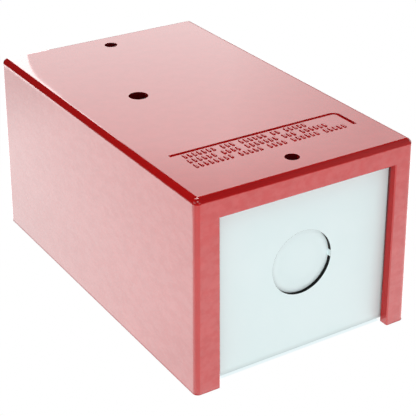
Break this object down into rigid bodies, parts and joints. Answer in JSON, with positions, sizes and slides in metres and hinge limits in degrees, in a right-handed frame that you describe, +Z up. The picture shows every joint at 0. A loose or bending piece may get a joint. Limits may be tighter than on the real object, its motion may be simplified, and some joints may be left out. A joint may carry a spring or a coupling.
{
  "type": "relay enclosure",
  "caption": "Red moulded cover with open windows at both ends over a folded steel chassis that carries a relay, board and terminal strips.",
  "frame": {"origin": "centre of the chassis underside, on the surface that the box stands on", "axes": "+Z up through the cover top, +Y along the length towards the rear window, -Y towards the front window"},
  "size_m": [0.0826, 0.1372, 0.067],
  "materials": {
    "cover_plastic": "glossy moulded red",
    "plated_steel": "bright zinc plate, satin",
    "insulating_board": "matte fibre sheet",
    "standoff_metal": "satin",
    "circuit_board": "satin green mask",
    "screw_steel": "plated",
    "black_moulding": "satin black moulding",
    "relay_iron": "plated, satin",
    "bobbin_plastic": "satin ivory moulding",
    "coil_copper": "enamelled wire, satin",
    "contact_metal": "tinned and silvered",
    "carrier_plastic": "satin brown moulding",
    "spring_bronze": "bright",
    "terminal_metal": "nickel plated",
    "lamp_lens": "clear tinted",
    "capacitor_sleeve": "shrunk sleeve",
    "varistor_lacquer": "dipped lacquer",
    "resistor_ceramic": "flameproof coating",
    "diode_epoxy": "satin",
    "ground_green": "green dye, glossy"
  },
  "bodies": {
    "chassis": {"chassis": "plated_steel", "insulating_sheet": "insulating_board", "board_standoffs": "standoff_metal", "circuit_board": "circuit_board", "board_screws": "screw_steel", "relay_base": "black_moulding", "relay_yoke": "relay_iron", "relay_core": "relay_iron", "relay_bobbin": "bobbin_plastic", "relay_winding": "coil_copper", "coil_pins": "contact_metal", "open_contact_posts": "contact_metal", "closed_contact_posts": "contact_metal", "hinge_spring": "spring_bronze", "hinge_rivets": "screw_steel", "front_terminal_strip": "black_moulding", "rear_terminal_strip": "black_moulding", "front_terminal_plates": "terminal_metal", "rear_terminal_plates": "terminal_metal", "front_terminal_screws": "screw_steel", "rear_terminal_screws": "screw_steel", "indicator_lamp": "lamp_lens", "filter_capacitor": "capacitor_sleeve", "varistor": "varistor_lacquer", "dropping_resistors": "resistor_ceramic", "rectifier_diodes": "diode_epoxy", "ground_screw": "ground_green", "ground_washer": "screw_steel"},
    "cover": {"cover": "cover_plastic"},
    "front_knockout": {"front_knockout": "plated_steel"},
    "rear_knockout": {"rear_knockout": "plated_steel"},
    "armature": {"relay_armature": "relay_iron", "contact_carrier": "carrier_plastic", "carrier_rivets": "contact_metal", "contact_blade": "contact_metal"}
  },
  "joints": [
    {"name": "cover_lift", "type": "slide", "parent": "chassis", "child": "cover", "axis": [0, 0, 1], "range_m": [0, 0.08]},
    {"name": "front_knockout_bend", "type": "hinge", "parent": "chassis", "child": "front_knockout", "pos_m": [0.01205, -0.06295, 0.0326], "axis": [0, 0, -1], "range_deg": [0, 75]},
    {"name": "rear_knockout_bend", "type": "hinge", "parent": "chassis", "child": "rear_knockout", "pos_m": [-0.01035, 0.06295, 0.0326], "axis": [0, 0, -1], "range_deg": [0, 75]},
    {"name": "armature_rock", "type": "hinge", "parent": "chassis", "child": "armature", "pos_m": [0.013, 0.014, 0.0434], "axis": [1, 0, 0], "range_deg": [0, 5.9], "stiffness_Nm_per_rad": 0.02, "springref_deg": -17.19}
  ]
}
